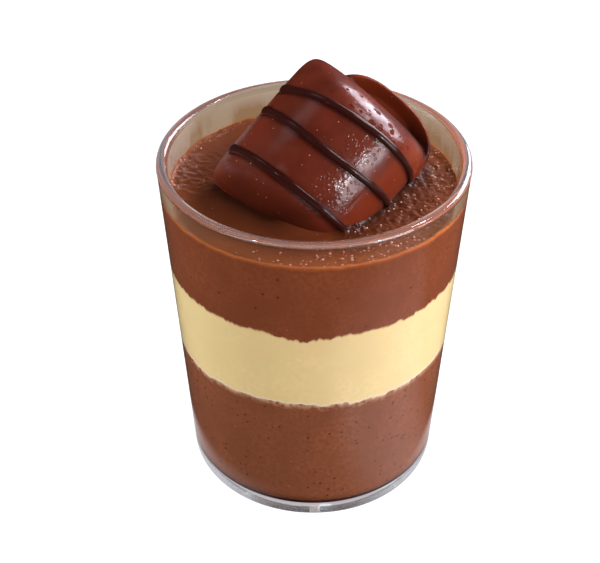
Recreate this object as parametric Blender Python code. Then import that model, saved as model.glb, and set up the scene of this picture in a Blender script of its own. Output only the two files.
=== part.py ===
"""Layered chocolate mousse in a small clear glass, topped with one segment of coated wafer bar.

Every visible piece is its own object: the glass, the three layers that fill it, the bar
segment that leans out of the top layer, and the three lines of dark drizzle across it.
The origin is the centre of the glass's foot. Units are metres, +Z is up.
"""

import math

import bmesh
import bpy
from mathutils import Matrix, Vector

# Glass
RIM_RADIUS = 0.0280
GLASS_HEIGHT = 0.0665
HEEL_HEIGHT = 0.0030
HEEL_RADIUS = 0.0236
FOOT_RADIUS = 0.0220
WALL = 0.0019
FLOOR = 0.0026
INNER_HEEL_HEIGHT = 0.0030
INNER_FOOT_RADIUS = 0.0189
FOOT_HOLLOW_RADIUS = 0.0170
FOOT_HOLLOW_DEPTH = 0.0006

# Layers
GAP = 0.0003
CREAM_BOTTOM = 0.0290
CREAM_TOP = 0.0454
MOUSSE_LEVEL = 0.0609
MENISCUS_RISE = 0.0006
MENISCUS_WIDTH = 0.0016

# Bar segment: its own frame has S along the bar, T across it and C up from its flat base
BAR_CENTRE = Vector((0.0009, 0.0020, 0.0630))
BAR_HEADING = math.radians(41.0)
BAR_PITCH = math.radians(32.0)
BAR_ROLL = math.radians(42.3)
BAR_WIDTH = 0.0280
BAR_LENGTH = 0.0299
BAR_CROWN = 0.0175
BAR_BASE = 0.0020
BAR_CORNER_POWER = 9.0
BAR_ARCH_POWER = 2.45
BAR_ARCH_ROOT = 2.4
BAR_END_POWER = 4.4
BAR_END_ROOT = 1.5
DOME_RINGS = (0.985, 0.95, 0.89, 0.80, 0.68, 0.52, 0.34, 0.16)

# Snapped-off start of the next segment, past the valley at the bar's far end
STUB_CENTRE_S = 0.0100
STUB_CENTRE_T = 0.0032
STUB_HALF_LENGTH = 0.0086
STUB_HALF_WIDTH = 0.0115
STUB_CORNER_POWER = 2.6
STUB_CREST = 0.0036
STUB_VALLEY = 0.0015

# Drizzle lines, from the far end to the near end: place along the bar, slant and bow
# as fractions of half the bar's length. Each reaches from the bar's raised side, at a
# fraction of its half width, over the dome and down to the mousse
DRIZZLE_RADIUS = 0.0006
DRIZZLE_START = -0.955
DRIZZLE_END = 0.985
DRIZZLES = (
    (0.41, 0.11, 0.05),
    (0.04, 0.06, -0.09),
    (-0.57, 0.04, -0.02),
)

TURN_STEPS = 72
BAR_STEPS = 80


def material(name, colour, roughness, metallic=0.0, transmission=0.0):
    """A Principled material with one plain colour."""
    made = bpy.data.materials.new(name)
    made.use_nodes = True
    shader = made.node_tree.nodes["Principled BSDF"]
    shader.inputs["Base Color"].default_value = (*colour, 1.0)
    shader.inputs["Roughness"].default_value = roughness
    shader.inputs["Metallic"].default_value = metallic
    shader.inputs["Transmission Weight"].default_value = transmission
    made.diffuse_color = (*colour, 1.0)
    return made


def add_object(name, mesh, finish):
    """Puts a mesh in the scene as a smooth-shaded object with its own material."""
    obj = bpy.data.objects.new(name, mesh)
    bpy.context.scene.collection.objects.link(obj)
    mesh.materials.append(finish)
    mesh.shade_smooth()
    mesh.set_sharp_from_angle(angle=math.radians(35))
    return obj


def mesh_from(work, name):
    """Closes a bmesh off into a mesh whose faces point out."""
    bmesh.ops.remove_doubles(work, verts=work.verts, dist=1e-6)
    bmesh.ops.recalc_face_normals(work, faces=work.faces)
    mesh = bpy.data.meshes.new(name)
    work.to_mesh(mesh)
    work.free()
    return mesh


def turned(name, profile, finish, steps=TURN_STEPS):
    """A solid of revolution about Z from (radius, height) points that start and end on the axis."""
    work = bmesh.new()
    points = [work.verts.new((radius, 0.0, height)) for radius, height in profile]
    edges = [work.edges.new(pair) for pair in zip(points, points[1:])]
    bmesh.ops.spin(
        work,
        geom=points + edges,
        cent=(0.0, 0.0, 0.0),
        axis=(0.0, 0.0, 1.0),
        angle=math.tau,
        steps=steps,
        use_merge=True,
    )
    return add_object(name, mesh_from(work, name), finish)


def quarter(centre_r, centre_z, across, up, start, end, count):
    """Points on an elliptical arc in the (radius, height) plane, between two angles in degrees."""
    arc = []
    for index in range(count + 1):
        angle = math.radians(start + (end - start) * index / count)
        arc.append((centre_r + across * math.cos(angle), centre_z + up * math.sin(angle)))
    return arc


def outer_radius(height):
    """Radius of the glass's straight outer wall at a height above its heel."""
    share = (height - HEEL_HEIGHT) / (GLASS_HEIGHT - HEEL_HEIGHT)
    return HEEL_RADIUS + (RIM_RADIUS - HEEL_RADIUS) * share


def inner_radius(height):
    """Radius of the space inside the glass, above its rounded bottom corner."""
    return outer_radius(height) - WALL


def inner_heel(clearance=0.0, count=6):
    """The rounded bottom corner of the space inside the glass, from the wall down to the floor."""
    heel_top = FLOOR + INNER_HEEL_HEIGHT
    return quarter(
        INNER_FOOT_RADIUS - clearance,
        heel_top,
        inner_radius(heel_top) - INNER_FOOT_RADIUS,
        INNER_HEEL_HEIGHT - clearance,
        0,
        -90,
        count,
    )


def make_glass(finish):
    """The tumbler: straight flared wall, rounded rim and heel, thick floor, hollowed foot."""
    lip = WALL / 2
    lip_centre_r = RIM_RADIUS - lip
    lip_centre_z = GLASS_HEIGHT - lip
    profile = [(0.0, FOOT_HOLLOW_DEPTH), (FOOT_HOLLOW_RADIUS * 0.6, FOOT_HOLLOW_DEPTH)]
    profile.append((FOOT_HOLLOW_RADIUS, 0.0))
    profile += quarter(
        FOOT_RADIUS, HEEL_HEIGHT, HEEL_RADIUS - FOOT_RADIUS, HEEL_HEIGHT, -90, 0, 8
    )
    profile += quarter(lip_centre_r, lip_centre_z, lip, lip, 0, 180, 6)
    profile += inner_heel()
    profile.append((0.0, FLOOR))
    return turned("glass", profile, finish)


def make_layer(name, bottom, top, finish):
    """A plain layer of the filling, from one height to another, just clear of the glass."""
    profile = [
        (0.0, bottom),
        (inner_radius(bottom) - GAP, bottom),
        (inner_radius(top) - GAP, top),
        (0.0, top),
    ]
    return turned(name, profile, finish)


def make_bottom_layer(finish):
    """The lowest layer, which follows the rounded corner above the glass's floor."""
    top = CREAM_BOTTOM - GAP
    profile = [(0.0, top), (inner_radius(top) - GAP, top)]
    profile += inner_heel(clearance=GAP)
    profile.append((0.0, FLOOR + GAP))
    return turned("mousse_bottom", profile, finish)


def bar_frame():
    """Maps the bar's own (S, T, C) places to the world."""
    along = Vector(
        (
            math.cos(BAR_HEADING) * math.cos(BAR_PITCH),
            math.sin(BAR_HEADING) * math.cos(BAR_PITCH),
            math.sin(BAR_PITCH),
        )
    )
    level = Vector((math.sin(BAR_HEADING), -math.cos(BAR_HEADING), 0.0))
    upright = level.cross(along).normalized()
    across = level * math.cos(BAR_ROLL) - upright * math.sin(BAR_ROLL)
    crown = upright * math.cos(BAR_ROLL) + level * math.sin(BAR_ROLL)
    frame = Matrix((along, across, crown)).transposed().to_4x4()
    frame.translation = BAR_CENTRE
    return frame


def rounded_outline(half_s, half_t, power, steps=BAR_STEPS):
    """Points round a rectangle with soft corners: a superellipse, taken at even angles."""
    outline = []
    for index in range(steps):
        angle = math.tau * index / steps
        ahead = math.cos(angle)
        aside = math.sin(angle)
        reach = (abs(ahead / half_s) ** power + abs(aside / half_t) ** power) ** (-1.0 / power)
        outline.append((ahead * reach, aside * reach))
    return outline


def crown_height(s, t, grow=0.0):
    """Height of the segment's domed top above its base, at a place in its footprint."""
    half_s = BAR_LENGTH / 2 + grow
    half_t = BAR_WIDTH / 2 + grow
    end = min(1.0, abs(s) / half_s)
    width = half_t * (1.0 - end**BAR_CORNER_POWER) ** (1.0 / BAR_CORNER_POWER)
    side = min(1.0, abs(t) / width) if width > 0 else 1.0
    arch = (1.0 - side**BAR_ARCH_POWER) ** (1.0 / BAR_ARCH_ROOT)
    fall = (1.0 - end**BAR_END_POWER) ** (1.0 / BAR_END_ROOT)
    return (BAR_CROWN + grow) * arch * fall


def loft_rings(rings, name):
    """A closed mesh from rings of equal length, with both end rings filled."""
    work = bmesh.new()
    laid = [[work.verts.new(point) for point in ring] for ring in rings]
    for low, high in zip(laid, laid[1:]):
        count = len(low)
        for index in range(count):
            after = (index + 1) % count
            work.faces.new((low[index], low[after], high[after], high[index]))
    work.faces.new(laid[0])
    work.faces.new(laid[-1])
    return mesh_from(work, name)


def segment_mesh(name, grow=0.0):
    """The domed segment, optionally grown all round by a clearance."""
    outline = rounded_outline(BAR_LENGTH / 2 + grow, BAR_WIDTH / 2 + grow, BAR_CORNER_POWER)
    frame = bar_frame()
    rings = []
    for height in (-BAR_BASE - grow, 0.0):
        rings.append([frame @ Vector((s, t, height)) for s, t in outline])
    for inset in DOME_RINGS:
        inner = [(s * inset, t * inset) for s, t in outline]
        rings.append([frame @ Vector((s, t, crown_height(s, t, grow))) for s, t in inner])
    return loft_rings(rings, name)


def stub_mesh(name, grow=0.0):
    """The rim of the next segment: an oval plate with a raised edge and a valley inside it."""
    outline = rounded_outline(STUB_HALF_LENGTH + grow, STUB_HALF_WIDTH + grow, STUB_CORNER_POWER)
    section = (
        (0.97, -BAR_BASE - grow),
        (1.00, -BAR_BASE + 0.0006 - grow),
        (1.00, STUB_CREST - 0.0022),
        (0.98, STUB_CREST - 0.0008 + grow),
        (0.93, STUB_CREST + grow),
        (0.87, STUB_CREST - 0.0004 + grow),
        (0.72, STUB_VALLEY + grow),
        (0.40, STUB_VALLEY + grow),
    )
    frame = bar_frame() @ Matrix.Translation((STUB_CENTRE_S, STUB_CENTRE_T, 0.0))
    rings = []
    for inset, height in section:
        rings.append([frame @ Vector((s * inset, t * inset, height)) for s, t in outline])
    return loft_rings(rings, name)


def join_solid(obj, other, operation):
    """Adds or cuts away another solid, which stays in the file as a hidden guide."""
    other.hide_render = True
    other.display_type = "WIRE"
    change = obj.modifiers.new(operation.title(), "BOOLEAN")
    change.operation = operation
    change.object = other
    change.solver = "EXACT"


def make_bar(name, finish, grow=0.0):
    """The segment with the snapped-off rim of its neighbour."""
    bar = add_object(name, segment_mesh(name, grow), finish)
    stub = add_object(name + "_stub", stub_mesh(name + "_stub", grow), finish)
    join_solid(bar, stub, "UNION")
    return bar


def surface_point(s, t, lift):
    """A point above the dome at a place in its footprint, lifted along the dome's own slope."""
    step = 0.0002
    slope_s = (crown_height(s + step, t) - crown_height(s - step, t)) / (2 * step)
    slope_t = (crown_height(s, t + step) - crown_height(s, t - step)) / (2 * step)
    normal = Vector((-slope_s, -slope_t, 1.0)).normalized()
    return Vector((s, t, crown_height(s, t))) + normal * lift


def drizzle_path(place, slant, bow, count=30):
    """Points of one drizzle line over the dome, down to the mousse."""
    frame = bar_frame()
    lift = DRIZZLE_RADIUS + GAP
    points = []
    for index in range(count + 1):
        sweep = math.sin(math.pi / 2 * (2 * index / count - 1))
        side = DRIZZLE_START + (DRIZZLE_END - DRIZZLE_START) * (sweep + 1) / 2
        along = place + slant * side + bow * (1 - side * side)
        width = (1.0 - abs(along) ** BAR_CORNER_POWER) ** (1.0 / BAR_CORNER_POWER)
        point = frame @ surface_point(along * BAR_LENGTH / 2, side * width * BAR_WIDTH / 2, lift)
        if point.z > MOUSSE_LEVEL + DRIZZLE_RADIUS + 2 * GAP:
            points.append(point)
    return points


def make_drizzle(name, path, finish):
    """One round line of drizzle along a path."""
    curve = bpy.data.curves.new(name, "CURVE")
    curve.dimensions = "3D"
    curve.bevel_depth = DRIZZLE_RADIUS
    curve.bevel_resolution = 2
    curve.use_fill_caps = True
    spline = curve.splines.new("POLY")
    spline.points.add(len(path) - 1)
    for knot, point in zip(spline.points, path):
        knot.co = (*point, 1.0)
    obj = bpy.data.objects.new(name, curve)
    bpy.context.scene.collection.objects.link(obj)
    curve.materials.append(finish)
    return obj


def make_top_layer(finish):
    """The top layer, with a meniscus at the glass and a pocket that the bar sits in."""
    bottom = CREAM_TOP + GAP
    edge = inner_radius(MOUSSE_LEVEL + MENISCUS_RISE) - GAP
    profile = [(0.0, bottom), (inner_radius(bottom) - GAP, bottom)]
    profile.append((edge, MOUSSE_LEVEL + MENISCUS_RISE))
    profile.append((edge - MENISCUS_WIDTH * 0.35, MOUSSE_LEVEL + MENISCUS_RISE * 0.4))
    profile.append((edge - MENISCUS_WIDTH, MOUSSE_LEVEL))
    profile.append((0.0, MOUSSE_LEVEL))
    layer = turned("mousse_top", profile, finish)
    pocket = make_bar("bar_pocket", finish, grow=GAP)
    join_solid(layer, pocket, "DIFFERENCE")
    return layer


def main():
    for obj in list(bpy.data.objects):
        bpy.data.objects.remove(obj, do_unlink=True)

    clear = material("clear_glass", (0.95, 0.96, 0.96), 0.02, transmission=1.0)
    chocolate = material("chocolate_mousse", (0.150, 0.050, 0.022), 0.45)
    dark_layer = material("deep_chocolate_mousse", (0.150, 0.048, 0.025), 0.50)
    vanilla = material("vanilla_cream", (0.74, 0.54, 0.24), 0.50)
    coating = material("milk_chocolate_coating", (0.110, 0.022, 0.012), 0.22)
    dark = material("dark_chocolate_drizzle", (0.030, 0.008, 0.006), 0.28)

    make_glass(clear)
    make_bottom_layer(dark_layer)
    make_layer("cream_middle", CREAM_BOTTOM, CREAM_TOP, vanilla)
    make_top_layer(chocolate)
    make_bar("bar_segment", coating)
    for number, (place, slant, bow) in enumerate(DRIZZLES, start=1):
        make_drizzle(f"drizzle_{number}", drizzle_path(place, slant, bow), dark)


main()
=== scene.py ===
"""Looks of the layered chocolate mousse in a glass: laid out as an add-on, run as a script."""

import math
import random

import bmesh
import bpy
from bpy.props import FloatProperty, FloatVectorProperty, IntProperty, PointerProperty
from mathutils import Matrix, Vector, noise
from mathutils.bvhtree import BVHTree


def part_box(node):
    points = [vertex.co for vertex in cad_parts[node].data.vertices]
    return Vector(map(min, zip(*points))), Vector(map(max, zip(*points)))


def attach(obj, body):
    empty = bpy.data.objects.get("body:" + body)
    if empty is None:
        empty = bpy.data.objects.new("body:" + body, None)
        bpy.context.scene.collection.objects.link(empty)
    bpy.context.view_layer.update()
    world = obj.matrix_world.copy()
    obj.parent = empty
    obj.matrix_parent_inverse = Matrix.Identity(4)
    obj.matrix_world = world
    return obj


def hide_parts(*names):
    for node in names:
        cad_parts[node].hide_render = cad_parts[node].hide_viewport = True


bl_info = {
    "name": "Layered mousse glass",
    "version": (1, 0, 0),
    "blender": (4, 5, 0),
    "location": "3D View > Sidebar > Mousse",
    "description": "Dresses the solids of a layered chocolate mousse with their looks",
    "category": "Object",
}

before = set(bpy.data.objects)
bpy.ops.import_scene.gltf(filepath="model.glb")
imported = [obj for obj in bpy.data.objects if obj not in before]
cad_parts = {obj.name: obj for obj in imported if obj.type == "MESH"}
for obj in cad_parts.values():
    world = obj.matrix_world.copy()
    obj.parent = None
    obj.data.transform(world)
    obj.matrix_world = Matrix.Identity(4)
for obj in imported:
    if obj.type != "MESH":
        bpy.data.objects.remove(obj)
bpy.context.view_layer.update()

MM = 0.001
BODY = "root"
GLASS_LOW, GLASS_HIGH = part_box("glass")
CREAM_LOW, CREAM_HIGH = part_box("cream_middle")

# How far the filling reaches into the wall, so that no air shows between them
REACH = 0.12 * MM

# How much the open surface sinks for each metre towards the back, and how many bubbles it has
SINK_TO_BACK = 0.016
BUBBLE_COUNT = 700

# Colours that the materials mix into their base colour
SEAM_FEATHER = (0.70, 0.46, 0.30)
FROTH_COLOUR = (0.150, 0.034, 0.010)
FROTH_SPECK = (0.62, 0.26, 0.12)
BUBBLE_COLOUR = (0.60, 0.30, 0.20)
CREAM_SPOT = (0.80, 0.55, 0.16)
CREAM_UPPER_FRINGE = (0.88, 0.76, 0.62)
CREAM_LOWER_FRINGE = (0.62, 0.34, 0.14)
# Lighter, warmer coating: painted light where light from the right falls on the flank and the
# stub.
PAINTED_FLANK_LIGHT = (0.165, 0.024, 0.0075)
# Pale dots on the coating: painted glints of tiny bumps.
PAINTED_COATING_GLINT = (0.60, 0.26, 0.14)

# Colours that the floor glows with as the glass mirrors it and as it shows through the glass:
# painted light of a bright room, paler beside the foot
FLOOR_MIRRORED = (0.96, 0.95, 1.0)
FLOOR_FAR_OFF = (0.78, 0.78, 0.86)
FLOOR_BESIDE_FOOT = (0.66, 0.58, 0.56)
FLOOR_UNDER_FOOT = (0.62, 0.56, 0.57)

# Glass profile below and above its straight wall
HEEL_HEIGHT = 3.0 * MM
FOOT_HOLLOW_RADIUS = 17.0 * MM
FOOT_HOLLOW_DEPTH = 0.6 * MM
INNER_FOOT_RADIUS = 18.9 * MM
INNER_HEEL_HEIGHT = 3.0 * MM

# Shape of the bar segment's dome, as powers of its footprint, its arch and its ends
CORNER_POWER = 9.0
ARCH_POWER = 2.45
ARCH_ROOT = 2.4
END_POWER = 4.4
END_ROOT = 1.5


def smoothstep(low, high, value):
    """Rises smoothly from 0 to 1 as value goes from low to high."""
    share = min(1.0, max(0.0, (value - low) / (high - low)))
    return share * share * (3.0 - 2.0 * share)


def blend(first, second, share):
    """The value a share of the way from first to second."""
    return first + (second - first) * share


def bump(value, centre, width):
    """A smooth hill of height 1 round a centre, gone past twice its width."""
    return math.exp(-(((value - centre) / width) ** 2))


# ---------------------------------------------------------------- settings


def length_property(name, description, default):
    """A setting that is a length."""
    return FloatProperty(name=name, description=description, default=default, unit="LENGTH")


def colour_property(name, description, default):
    """A setting that is a colour."""
    return FloatVectorProperty(
        name=name,
        description=description,
        default=default,
        size=3,
        subtype="COLOR",
        min=0.0,
        max=1.0,
    )


def amount_property(name, description, default):
    """A setting that is a plain share or strength of 0 or more."""
    return FloatProperty(name=name, description=description, default=default, min=0.0)


class GlassSettings(bpy.types.PropertyGroup):
    """Sizes and tint of the glass."""

    wall: length_property("Wall", "Thickness of the glass's side wall", 1.9 * MM)
    floor: length_property("Floor", "Thickness of the glass under the filling", 2.6 * MM)
    heel_radius: length_property(
        "Heel radius", "Outer radius where the straight wall meets the rounded heel", 23.6 * MM
    )
    foot_radius: length_property(
        "Foot radius", "Outer radius of the ring that the glass stands on", 22.0 * MM
    )
    ior: FloatProperty(
        name="Refraction",
        description="Index of refraction of the glass",
        default=1.5,
        min=1.0,
        max=2.0,
    )
    tint: colour_property("Tint", "Colour of the glass", (0.96, 0.95, 0.94))
    # Pale mix at the lip and foot: painted reflection of a bright room.
    painted_sheen_colour: colour_property(
        "Worn glass", "Colour of the glass at its lip and foot", (0.76, 0.84, 1.0)
    )
    film_colour: colour_property(
        "Film",
        "Colour that thin mousse on the inside of the wall gives the glass",
        (0.52, 0.32, 0.19),
    )
    steps: IntProperty(
        name="Steps",
        description="Flat faces round the glass",
        default=192,
        min=24,
        max=512,
    )


class FillingSettings(bpy.types.PropertyGroup):
    """Heights, unevenness and colours of the three layers."""

    level: length_property("Level", "Height of the top layer's surface", 60.2 * MM)
    meniscus_rise: length_property(
        "Meniscus rise", "How far the surface climbs where it meets the glass", 0.6 * MM
    )
    meniscus_width: length_property(
        "Meniscus width", "Width of the band in which the surface climbs to the glass", 1.6 * MM
    )
    seam_depth: length_property(
        "Seam depth", "How uneven the seams between the layers are", 0.34 * MM
    )
    bottom_colour: colour_property(
        "Bottom mousse", "Colour of the bottom mousse against the glass", (0.250, 0.086, 0.042)
    )
    top_colour: colour_property(
        "Top mousse", "Colour of the top mousse against the glass", (0.215, 0.062, 0.026)
    )
    surface_colour: colour_property(
        "Mousse surface", "Colour of the wet open surface of the top layer", (0.175, 0.041, 0.0135)
    )
    # Painted light: the lighter orange that light shining through the thin film at the wall would
    # give.
    painted_backlight_colour: colour_property(
        "Meniscus edge",
        "Colour of the thin film where the surface climbs the glass",
        (0.50, 0.14, 0.038),
    )
    cream_colour: colour_property("Cream", "Colour of the middle layer", (0.84, 0.70, 0.365))
    steps: IntProperty(
        name="Steps",
        description="Flat faces round each layer",
        default=640,
        min=64,
        max=1024,
    )


class BarSettings(bpy.types.PropertyGroup):
    """Size, lean and coating of the bar segment."""

    centre: FloatVectorProperty(
        name="Centre",
        description="Place of the middle of the segment's base",
        default=(0.9 * MM, 2.0 * MM, 63.0 * MM),
        size=3,
        subtype="TRANSLATION",
        unit="LENGTH",
    )
    heading: FloatProperty(
        name="Heading",
        description="Direction of the segment's length, seen from above",
        default=math.radians(41.0),
        subtype="ANGLE",
    )
    pitch: FloatProperty(
        name="Pitch",
        description="How far the segment's far end is raised",
        default=math.radians(32.0),
        subtype="ANGLE",
    )
    roll: FloatProperty(
        name="Roll",
        description="How far the segment leans over its length",
        default=math.radians(42.3),
        subtype="ANGLE",
    )
    width: length_property("Width", "Width of the segment across its length", 28.0 * MM)
    length: length_property("Length", "Length of the segment, from valley to valley", 29.9 * MM)
    crown: length_property("Crown", "Height of the dome above the segment's base", 17.5 * MM)
    base: length_property("Base", "Depth of the segment below the dome", 2.0 * MM)
    colour: colour_property("Coating", "Colour of the chocolate coating", (0.116, 0.0190, 0.0090))
    grain: length_property("Grain", "Height of the coating's small bumps", 0.035 * MM)


class DrizzleSettings(bpy.types.PropertyGroup):
    """Section and colour of the drizzle lines."""

    width: length_property("Width", "Width of a drizzle line", 1.40 * MM)
    height: length_property("Height", "Height of a drizzle line over the coating", 0.55 * MM)
    colour: colour_property("Drizzle", "Colour of the dark drizzle", (0.030, 0.0058, 0.0040))


class StageSettings(bpy.types.PropertyGroup):
    """Floor, light and camera."""

    floor_colour: colour_property("Floor", "Colour of the floor", (0.22, 0.22, 0.22))
    floor_glow: amount_property(
        "Floor glow", "Even brightness of the floor, which keeps its shadows faint", 0.92
    )
    mirrored_back: amount_property(
        "Mirrored back", "Brightness of the floor behind, as the glass mirrors it", 1.0
    )
    mirrored_right: amount_property(
        "Mirrored right",
        "Brightness of the floor close on the right, as the glass mirrors it",
        0.6,
    )
    refracted_colour: colour_property(
        "Floor through glass",
        "Colour of the floor as it shows through the glass",
        (0.42, 0.31, 0.21),
    )
    sky: amount_property("Sky", "Strength of the even light from all round", 0.085)
    sky_in_gloss: amount_property(
        "Sky in gloss", "Strength of the same light as glossy food mirrors it", 0.03
    )
    sky_in_glass: amount_property(
        "Sky in glass", "Strength of the same light as the glass mirrors it", 1.5
    )
    sky_through_glass: amount_property(
        "Sky through glass", "Strength of the same light where the glass bends it to the eye", 0.6
    )
    key: FloatProperty(
        name="Key light",
        description="Power of the soft light behind on the right",
        default=3.6,
        unit="POWER",
    )
    elevation: FloatProperty(
        name="Elevation",
        description="Height of the camera above the horizon, as an angle",
        default=math.radians(36.656),
        subtype="ANGLE",
    )
    distance: length_property(
        "Distance", "Distance of the camera from the point it looks at", 280.0 * MM
    )
    lens: FloatProperty(
        name="Lens",
        description="Focal length in millimetres, on a 36 mm wide frame",
        default=89.344,
        subtype="DISTANCE_CAMERA",
    )


# ---------------------------------------------------------------- meshes


def ring_mesh(name, rings):
    """A closed mesh from rings of points, in order; a ring of one point closes an end."""
    points = []
    starts = []
    for ring in rings:
        starts.append(len(points))
        points.extend(ring)
    faces = []
    for index in range(len(rings) - 1):
        low, high = starts[index], starts[index + 1]
        low_count, high_count = len(rings[index]), len(rings[index + 1])
        count = max(low_count, high_count)
        for step in range(count):
            after = (step + 1) % count
            if low_count == 1:
                faces.append((low, high + after, high + step))
            elif high_count == 1:
                faces.append((low + step, low + after, high))
            else:
                faces.append((low + step, low + after, high + after, high + step))
    mesh = bpy.data.meshes.new(name)
    mesh.from_pydata(points, [], faces)
    face_outward(mesh)
    return mesh


def face_outward(mesh):
    """Turns every face of a closed mesh outward."""
    work = bmesh.new()
    work.from_mesh(mesh)
    bmesh.ops.recalc_face_normals(work, faces=work.faces)
    work.to_mesh(mesh)
    work.free()


def add_piece(name, mesh, materials, node):
    """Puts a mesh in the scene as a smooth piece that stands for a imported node."""
    piece = bpy.data.objects.new(name, mesh)
    bpy.context.scene.collection.objects.link(piece)
    mesh.materials.clear()
    for material in materials:
        mesh.materials.append(material)
    mesh.shade_smooth()
    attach(piece, BODY)
    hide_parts(node)
    return piece


def add_values(mesh, name, values):
    """Keeps one number for each point of a mesh, for its material to read."""
    mesh.attributes.new(name, "FLOAT", "POINT").data.foreach_set("value", values)


def arc(centre_r, centre_z, across, up, start, end, count):
    """(radius, height) points on an elliptical arc between two angles in degrees."""
    points = []
    for index in range(count + 1):
        angle = math.radians(blend(start, end, index / count))
        points.append((centre_r + across * math.cos(angle), centre_z + up * math.sin(angle)))
    return points


def circle(radius, height, steps):
    """A level ring of points round the Z axis."""
    turn = math.tau / steps
    return [
        (radius * math.cos(turn * step), radius * math.sin(turn * step), height)
        for step in range(steps)
    ]


# ---------------------------------------------------------------- materials


def new_material(name, colour, roughness, **sockets):
    """A Principled material; sockets are further socket values, with _ for a space."""
    made = bpy.data.materials.new(name)
    made.use_nodes = True
    shader = made.node_tree.nodes["Principled BSDF"]
    shader.inputs["Base Color"].default_value = (*colour, 1.0)
    shader.inputs["Roughness"].default_value = roughness
    for socket, value in sockets.items():
        shader.inputs[socket.replace("_", " ")].default_value = value
    return made


class Nodes:
    """Short ways to add nodes to one material's tree."""

    def __init__(self, material):
        self.tree = material.node_tree
        self.shader = self.tree.nodes["Principled BSDF"]
        self.place = self.add("ShaderNodeTexCoord").outputs["Object"]

    def add(self, kind, links=(), **settings):
        """Adds a node, sets its own settings and links (input, source) pairs."""
        node = self.tree.nodes.new(kind)
        for key, value in settings.items():
            setattr(node, key, value)
        for socket, source in links:
            self.feed(node.inputs[socket], source)
        return node

    def feed(self, socket, source):
        """Links an output to a socket, or sets a plain value on it."""
        if isinstance(source, bpy.types.NodeSocket):
            self.tree.links.new(source, socket)
        else:
            socket.default_value = source

    def speckle(self, scale, detail=3.0, squash=1.0):
        """Smooth random values from 0 to 1, with a grain of 1 / scale metres."""
        shape = (("Vector", self.place), ("Scale", (1.0, 1.0, squash)))
        place = self.add("ShaderNodeMapping", shape).outputs["Vector"]
        links = (("Vector", place), ("Scale", scale), ("Detail", detail))
        return self.add("ShaderNodeTexNoise", links).outputs["Fac"]

    def dots(self, scale, size, chance):
        """1 inside small round dots, which a share of the cells hold."""
        links = (("Vector", self.place), ("Scale", scale))
        cells = self.add("ShaderNodeTexVoronoi", links, feature="F1")
        near = self.ramp(cells.outputs["Distance"], size, size * 0.4)
        pick = self.add("ShaderNodeSeparateColor", (("Color", cells.outputs["Color"]),))
        held = self.math("LESS_THAN", pick.outputs["Red"], chance)
        return self.math("MULTIPLY", near, held)

    def ramp(self, source, low, high, to_low=0.0, to_high=1.0):
        """Maps values from low..high to to_low..to_high, smoothly and clamped."""
        links = (("Value", source), ("From Min", low), ("From Max", high))
        links += (("To Min", to_low), ("To Max", to_high))
        node = self.add("ShaderNodeMapRange", links, interpolation_type="SMOOTHSTEP")
        return node.outputs["Result"]

    def math(self, operation, first, second):
        """One sum of two values."""
        links = ((0, first), (1, second))
        return self.add("ShaderNodeMath", links, operation=operation).outputs[0]

    def mix(self, share, first, second):
        """Blends two colours."""
        first = (*first, 1.0) if isinstance(first, tuple) else first
        second = (*second, 1.0) if isinstance(second, tuple) else second
        node = self.add("ShaderNodeMix", data_type="RGBA")
        self.feed(node.inputs[0], share)
        self.feed(node.inputs[6], first)
        self.feed(node.inputs[7], second)
        return node.outputs[2]

    def value(self, name):
        """A number kept on the mesh's points."""
        return self.add("ShaderNodeAttribute", attribute_name=name).outputs["Fac"]

    def relief(self, height, distance, strength=1.0):
        """Sends fine relief to the shader's normal."""
        links = (("Height", height), ("Distance", distance), ("Strength", strength))
        bumped = self.add("ShaderNodeBump", links)
        for socket in ("Normal", "Coat Normal"):
            self.feed(self.shader.inputs[socket], bumped.outputs["Normal"])

    def colour(self, source):
        """Sends a colour to the shader."""
        self.feed(self.shader.inputs["Base Color"], source)


def shade(colour, share):
    """A colour made darker or lighter by a share."""
    return tuple(min(1.0, channel * share) for channel in colour)


def glass_material(settings):
    """Clear glass that lets the lamps reach what it holds, with a pale mix at its lip and foot:
    painted reflection of a bright room.
    """
    tint = tuple(settings.tint)
    made = new_material("clear_glass", tint, 0.0, IOR=settings.ior)
    nodes = Nodes(made)
    painted_glass_sheen = nodes.value("painted_glass_sheen")
    nodes.feed(nodes.shader.inputs["Transmission Weight"], nodes.math("SUBTRACT", 1.0, painted_glass_sheen))
    sheen_share = nodes.ramp(painted_glass_sheen, 0.0, 0.02)
    streaks = nodes.ramp(nodes.speckle(200.0, 4.0, squash=0.4), 0.35, 0.65, 0.25, 1.5)
    film = nodes.math("MULTIPLY", nodes.value("film"), streaks)
    body = nodes.mix(film, tint, tuple(settings.film_colour))
    nodes.colour(nodes.mix(sheen_share, body, tuple(settings.painted_sheen_colour)))
    path = nodes.add("ShaderNodeLightPath")
    passing = nodes.math("MAXIMUM", path.outputs["Is Shadow Ray"], path.outputs["Is Diffuse Ray"])
    clear = nodes.add("ShaderNodeBsdfTransparent", (("Color", (0.94, 0.93, 0.92, 1.0)),))
    links = ((0, passing), (1, nodes.shader.outputs[0]), (2, clear.outputs[0]))
    both = nodes.add("ShaderNodeMixShader", links)
    nodes.feed(nodes.tree.nodes["Material Output"].inputs["Surface"], both.outputs[0])
    return made


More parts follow.
